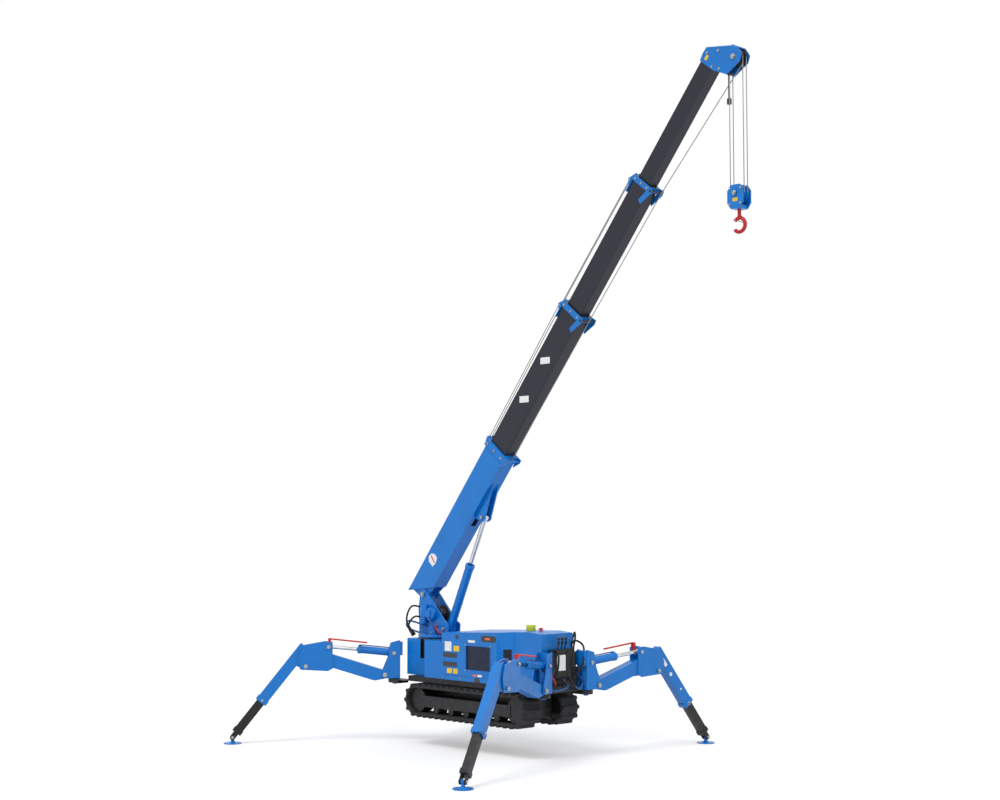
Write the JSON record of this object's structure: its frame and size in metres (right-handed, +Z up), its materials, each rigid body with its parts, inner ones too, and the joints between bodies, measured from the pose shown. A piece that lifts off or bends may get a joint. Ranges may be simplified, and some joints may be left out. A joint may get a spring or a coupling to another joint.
{
  "type": "spider crane",
  "caption": "Small tracked crane with a slewing telescopic boom, hook block and folding outriggers.",
  "frame": {"origin": "on the ground under the middle of the box round the crane as it stands", "axes": "+X from the crane column towards the control end, +Y to the far side, +Z up"},
  "size_m": [4.4601, 3.2022, 5.2468],
  "materials": {
    "blue_paint": "gloss",
    "black_paint": "satin",
    "track_rubber": "matte",
    "navy_paint": "satin",
    "rod_chrome": "polished",
    "rope_steel": "bare",
    "dark_iron": "matte",
    "hook_red": "gloss",
    "beacon_yellow": "translucent",
    "knob_black": "gloss"
  },
  "bodies": {
    "carrier": {"chassis": "black_paint", "track_left": "track_rubber", "track_right": "track_rubber", "track_frame_left": "black_paint", "track_frame_right": "black_paint", "hood": "blue_paint", "engine": "dark_iron", "front_housing": "blue_paint", "rear_box": "black_paint", "levers": "knob_black", "beacon": "beacon_yellow"},
    "column": {"column": "blue_paint", "winch_motor": "blue_paint"},
    "winch_drum": {"winch_drum": "dark_iron"},
    "luff_barrel": {"luff_barrel": "blue_paint"},
    "luff_rod": {"luff_rod": "rod_chrome"},
    "boom_base": {"boom_base": "blue_paint"},
    "boom_2": {"boom_2": "navy_paint"},
    "boom_3": {"boom_3": "navy_paint"},
    "boom_4": {"boom_4": "navy_paint"},
    "falls": {"head_sheaves": "dark_iron", "falls": "rope_steel"},
    "rope_weight": {"rope_weight": "dark_iron"},
    "hook_block": {"hook_block": "blue_paint"},
    "hook": {"hook": "hook_red"},
    "post_fl": {"post_fl": "blue_paint"},
    "arm_fl": {"arm_fl": "blue_paint"},
    "lift_barrel_fl": {"lift_barrel_fl": "blue_paint"},
    "lift_rod_fl": {"lift_rod_fl": "rod_chrome"},
    "leg_fl": {"leg_fl": "blue_paint"},
    "inner_leg_fl": {"inner_leg_fl": "black_paint"},
    "foot_fl": {"foot_fl": "blue_paint"},
    "post_fr": {"post_fr": "blue_paint"},
    "arm_fr": {"arm_fr": "blue_paint"},
    "lift_barrel_fr": {"lift_barrel_fr": "blue_paint"},
    "lift_rod_fr": {"lift_rod_fr": "rod_chrome"},
    "leg_fr": {"leg_fr": "blue_paint"},
    "inner_leg_fr": {"inner_leg_fr": "black_paint"},
    "foot_fr": {"foot_fr": "blue_paint"},
    "post_rl": {"post_rl": "blue_paint"},
    "arm_rl": {"arm_rl": "blue_paint"},
    "lift_barrel_rl": {"lift_barrel_rl": "blue_paint"},
    "lift_rod_rl": {"lift_rod_rl": "rod_chrome"},
    "leg_rl": {"leg_rl": "blue_paint"},
    "inner_leg_rl": {"inner_leg_rl": "black_paint"},
    "foot_rl": {"foot_rl": "blue_paint"},
    "post_rr": {"post_rr": "blue_paint"},
    "arm_rr": {"arm_rr": "blue_paint"},
    "lift_barrel_rr": {"lift_barrel_rr": "blue_paint"},
    "lift_rod_rr": {"lift_rod_rr": "rod_chrome"},
    "leg_rr": {"leg_rr": "blue_paint"},
    "inner_leg_rr": {"inner_leg_rr": "black_paint"},
    "foot_rr": {"foot_rr": "blue_paint"}
  },
  "joints": [
    {"name": "slew", "type": "hinge", "parent": "carrier", "child": "column", "pos_m": [-1.07355, -0.04287, 0.88], "axis": [0, 0, 1], "continuous": true},
    {"name": "boom_luff", "type": "hinge", "parent": "column", "child": "boom_base", "pos_m": [-1.17755, -0.04287, 1.222], "axis": [0, 1, 0], "range_deg": [-27.1, 50.9]},
    {"name": "luff_barrel_tilt", "type": "hinge", "parent": "column", "child": "luff_barrel", "pos_m": [-0.91855, -0.04287, 0.945], "axis": [0, 1, 0], "range_deg": [-60, 60]},
    {"name": "luff_rod_slide", "type": "slide", "parent": "luff_barrel", "child": "luff_rod", "axis": [-0.4234, 0, -0.906], "range_m": [-0.3, 0.4]},
    {"name": "boom_retract", "type": "slide", "parent": "boom_base", "child": "boom_2", "axis": [-0.6307, 0, -0.776], "range_m": [0, 1.24]},
    {"name": "section_3_retract", "type": "slide", "parent": "boom_2", "child": "boom_3", "axis": [-0.6307, 0, -0.776], "range_m": [0, 1.12]},
    {"name": "section_4_retract", "type": "slide", "parent": "boom_3", "child": "boom_4", "axis": [-0.6307, 0, -0.776], "range_m": [0, 0.98]},
    {"name": "falls_plumb", "type": "hinge", "parent": "boom_4", "child": "falls", "pos_m": [2.15798, -0.04287, 5.12816], "axis": [0, 1, 0], "range_deg": [-80, 80]},
    {"name": "weight_plumb", "type": "hinge", "parent": "boom_4", "child": "rope_weight", "pos_m": [2.07851, -0.04287, 5.03038], "axis": [0, 1, 0], "range_deg": [-80, 80]},
    {"name": "hook_hoist", "type": "slide", "parent": "falls", "child": "hook_block", "axis": [0, 0, 1], "range_m": [0, 0.5], "deforming": ["falls"]},
    {"name": "hook_swivel", "type": "hinge", "parent": "hook_block", "child": "hook", "pos_m": [2.15798, -0.04287, 4.04516], "axis": [0, 0, 1], "continuous": true},
    {"name": "winch_spin", "type": "hinge", "parent": "column", "child": "winch_drum", "pos_m": [-1.05355, -0.04287, 1.065], "axis": [0, 1, 0], "continuous": true},
    {"name": "swing_fl", "type": "hinge", "parent": "carrier", "child": "post_fl", "pos_m": [-1.35155, -0.27787, 0.52], "axis": [0, 0, -1], "range_deg": [-47, 53]},
    {"name": "arm_lift_fl", "type": "hinge", "parent": "post_fl", "child": "arm_fl", "pos_m": [-1.4027, -0.34575, 0.556], "axis": [-0.7986, 0.6018, 0], "range_deg": [-4, 70]},
    {"name": "barrel_tilt_fl", "type": "hinge", "parent": "post_fl", "child": "lift_barrel_fl", "pos_m": [-1.35756, -0.28586, 0.735], "axis": [-0.7986, 0.6018, 0], "range_deg": [-15, 100]},
    {"name": "rod_slide_fl", "type": "slide", "parent": "lift_barrel_fl", "child": "lift_rod_fl", "axis": [0.5988, 0.7946, -0.1004], "range_m": [-0.05, 0.25]},
    {"name": "knee_fl", "type": "hinge", "parent": "arm_fl", "child": "leg_fl", "pos_m": [-1.7987, -0.87126, 0.632], "axis": [0.7986, -0.6018, 0], "range_deg": [0, 108.4]},
    {"name": "leg_extend_fl", "type": "slide", "parent": "leg_fl", "child": "inner_leg_fl", "axis": [0.3738, 0.4961, 0.7837], "range_m": [0, 0.27]},
    {"name": "foot_tilt_fl", "type": "hinge", "parent": "inner_leg_fl", "child": "foot_fl", "pos_m": [-2.15751, -1.34742, 0.052], "axis": [0.7986, -0.6018, 0], "range_deg": [-35, 35]},
    {"name": "swing_fr", "type": "hinge", "parent": "carrier", "child": "post_fr", "pos_m": [-1.35155, 0.19213, 0.52], "axis": [0, 0, 1], "range_deg": [-47, 53]},
    {"name": "arm_lift_fr", "type": "hinge", "parent": "post_fr", "child": "arm_fr", "pos_m": [-1.4027, 0.26001, 0.556], "axis": [0.7986, 0.6018, 0], "range_deg": [-4, 70]},
    {"name": "barrel_tilt_fr", "type": "hinge", "parent": "post_fr", "child": "lift_barrel_fr", "pos_m": [-1.35756, 0.20012, 0.735], "axis": [0.7986, 0.6018, 0], "range_deg": [-15, 100]},
    {"name": "rod_slide_fr", "type": "slide", "parent": "lift_barrel_fr", "child": "lift_rod_fr", "axis": [0.5988, -0.7946, -0.1004], "range_m": [-0.05, 0.25]},
    {"name": "knee_fr", "type": "hinge", "parent": "arm_fr", "child": "leg_fr", "pos_m": [-1.7987, 0.78552, 0.632], "axis": [-0.7986, -0.6018, 0], "range_deg": [0, 108.4]},
    {"name": "leg_extend_fr", "type": "slide", "parent": "leg_fr", "child": "inner_leg_fr", "axis": [0.3738, -0.4961, 0.7837], "range_m": [0, 0.27]},
    {"name": "foot_tilt_fr", "type": "hinge", "parent": "inner_leg_fr", "child": "foot_fr", "pos_m": [-2.15751, 1.26168, 0.052], "axis": [-0.7986, -0.6018, 0], "range_deg": [-35, 35]},
    {"name": "swing_rl", "type": "hinge", "parent": "carrier", "child": "post_rl", "pos_m": [0.41245, -0.27787, 0.52], "axis": [0, 0, 1], "range_deg": [-31, 69]},
    {"name": "arm_lift_rl", "type": "hinge", "parent": "post_rl", "child": "arm_rl", "pos_m": [0.44291, -0.35722, 0.556], "axis": [-0.9336, -0.3584, 0], "range_deg": [-4, 70]},
    {"name": "barrel_tilt_rl", "type": "hinge", "parent": "post_rl", "child": "lift_barrel_rl", "pos_m": [0.41604, -0.2872, 0.735], "axis": [-0.9336, -0.3584, 0], "range_deg": [-15, 100]},
    {"name": "rod_slide_rl", "type": "slide", "parent": "lift_barrel_rl", "child": "lift_rod_rl", "axis": [-0.3566, 0.9289, -0.1004], "range_m": [-0.05, 0.25]},
    {"name": "knee_rl", "type": "hinge", "parent": "arm_rl", "child": "leg_rl", "pos_m": [0.67872, -0.97152, 0.632], "axis": [0.9336, 0.3584, 0], "range_deg": [0, 108.4]},
    {"name": "leg_extend_rl", "type": "slide", "parent": "leg_rl", "child": "inner_leg_rl", "axis": [-0.2226, 0.5799, 0.7837], "range_m": [0, 0.27]},
    {"name": "foot_tilt_rl", "type": "hinge", "parent": "inner_leg_rl", "child": "foot_rl", "pos_m": [0.89239, -1.52815, 0.052], "axis": [0.9336, 0.3584, 0], "range_deg": [-35, 35]},
    {"name": "swing_rr", "type": "hinge", "parent": "carrier", "child": "post_rr", "pos_m": [0.41245, 0.19213, 0.52], "axis": [0, 0, -1], "range_deg": [-14, 86]},
    {"name": "arm_lift_rr", "type": "hinge", "parent": "post_rr", "child": "arm_rr", "pos_m": [0.41838, 0.27692, 0.556], "axis": [0.9976, -0.0698, 0], "range_deg": [-4, 70]},
    {"name": "barrel_tilt_rr", "type": "hinge", "parent": "post_rr", "child": "lift_barrel_rr", "pos_m": [0.41315, 0.20211, 0.735], "axis": [0.9976, -0.0698, 0], "range_deg": [-15, 100]},
    {"name": "rod_slide_rr", "type": "slide", "parent": "lift_barrel_rr", "child": "lift_rod_rr", "axis": [-0.0694, -0.9925, -0.1004], "range_m": [-0.05, 0.25]},
    {"name": "knee_rr", "type": "hinge", "parent": "arm_rr", "child": "leg_rr", "pos_m": [0.46428, 0.93332, 0.632], "axis": [-0.9976, 0.0698, 0], "range_deg": [0, 108.4]},
    {"name": "leg_extend_rr", "type": "slide", "parent": "leg_rr", "child": "inner_leg_rr", "axis": [-0.0433, -0.6196, 0.7837], "range_m": [0, 0.27]},
    {"name": "foot_tilt_rr", "type": "hinge", "parent": "inner_leg_rr", "child": "foot_rr", "pos_m": [0.50587, 1.5281, 0.052], "axis": [-0.9976, 0.0698, 0], "range_deg": [-35, 35]}
  ],
  "couplings": [
    {"joint": "luff_barrel_tilt", "follows": "boom_luff", "ratio": 0.9566},
    {"joint": "luff_rod_slide", "follows": "boom_luff", "m_per_rad": 0.3484},
    {"joint": "section_3_retract", "follows": "boom_retract", "ratio": 0.89},
    {"joint": "section_4_retract", "follows": "boom_retract", "ratio": 0.76},
    {"joint": "falls_plumb", "follows": "boom_luff", "ratio": -1},
    {"joint": "weight_plumb", "follows": "boom_luff", "ratio": -1},
    {"joint": "barrel_tilt_fl", "follows": "arm_lift_fl", "ratio": 1.1655},
    {"joint": "rod_slide_fl", "follows": "arm_lift_fl", "m_per_rad": 0.1676},
    {"joint": "barrel_tilt_fr", "follows": "arm_lift_fr", "ratio": 1.1655},
    {"joint": "rod_slide_fr", "follows": "arm_lift_fr", "m_per_rad": 0.1676},
    {"joint": "barrel_tilt_rl", "follows": "arm_lift_rl", "ratio": 1.1655},
    {"joint": "rod_slide_rl", "follows": "arm_lift_rl", "m_per_rad": 0.1676},
    {"joint": "barrel_tilt_rr", "follows": "arm_lift_rr", "ratio": 1.1655},
    {"joint": "rod_slide_rr", "follows": "arm_lift_rr", "m_per_rad": 0.1676}
  ]
}
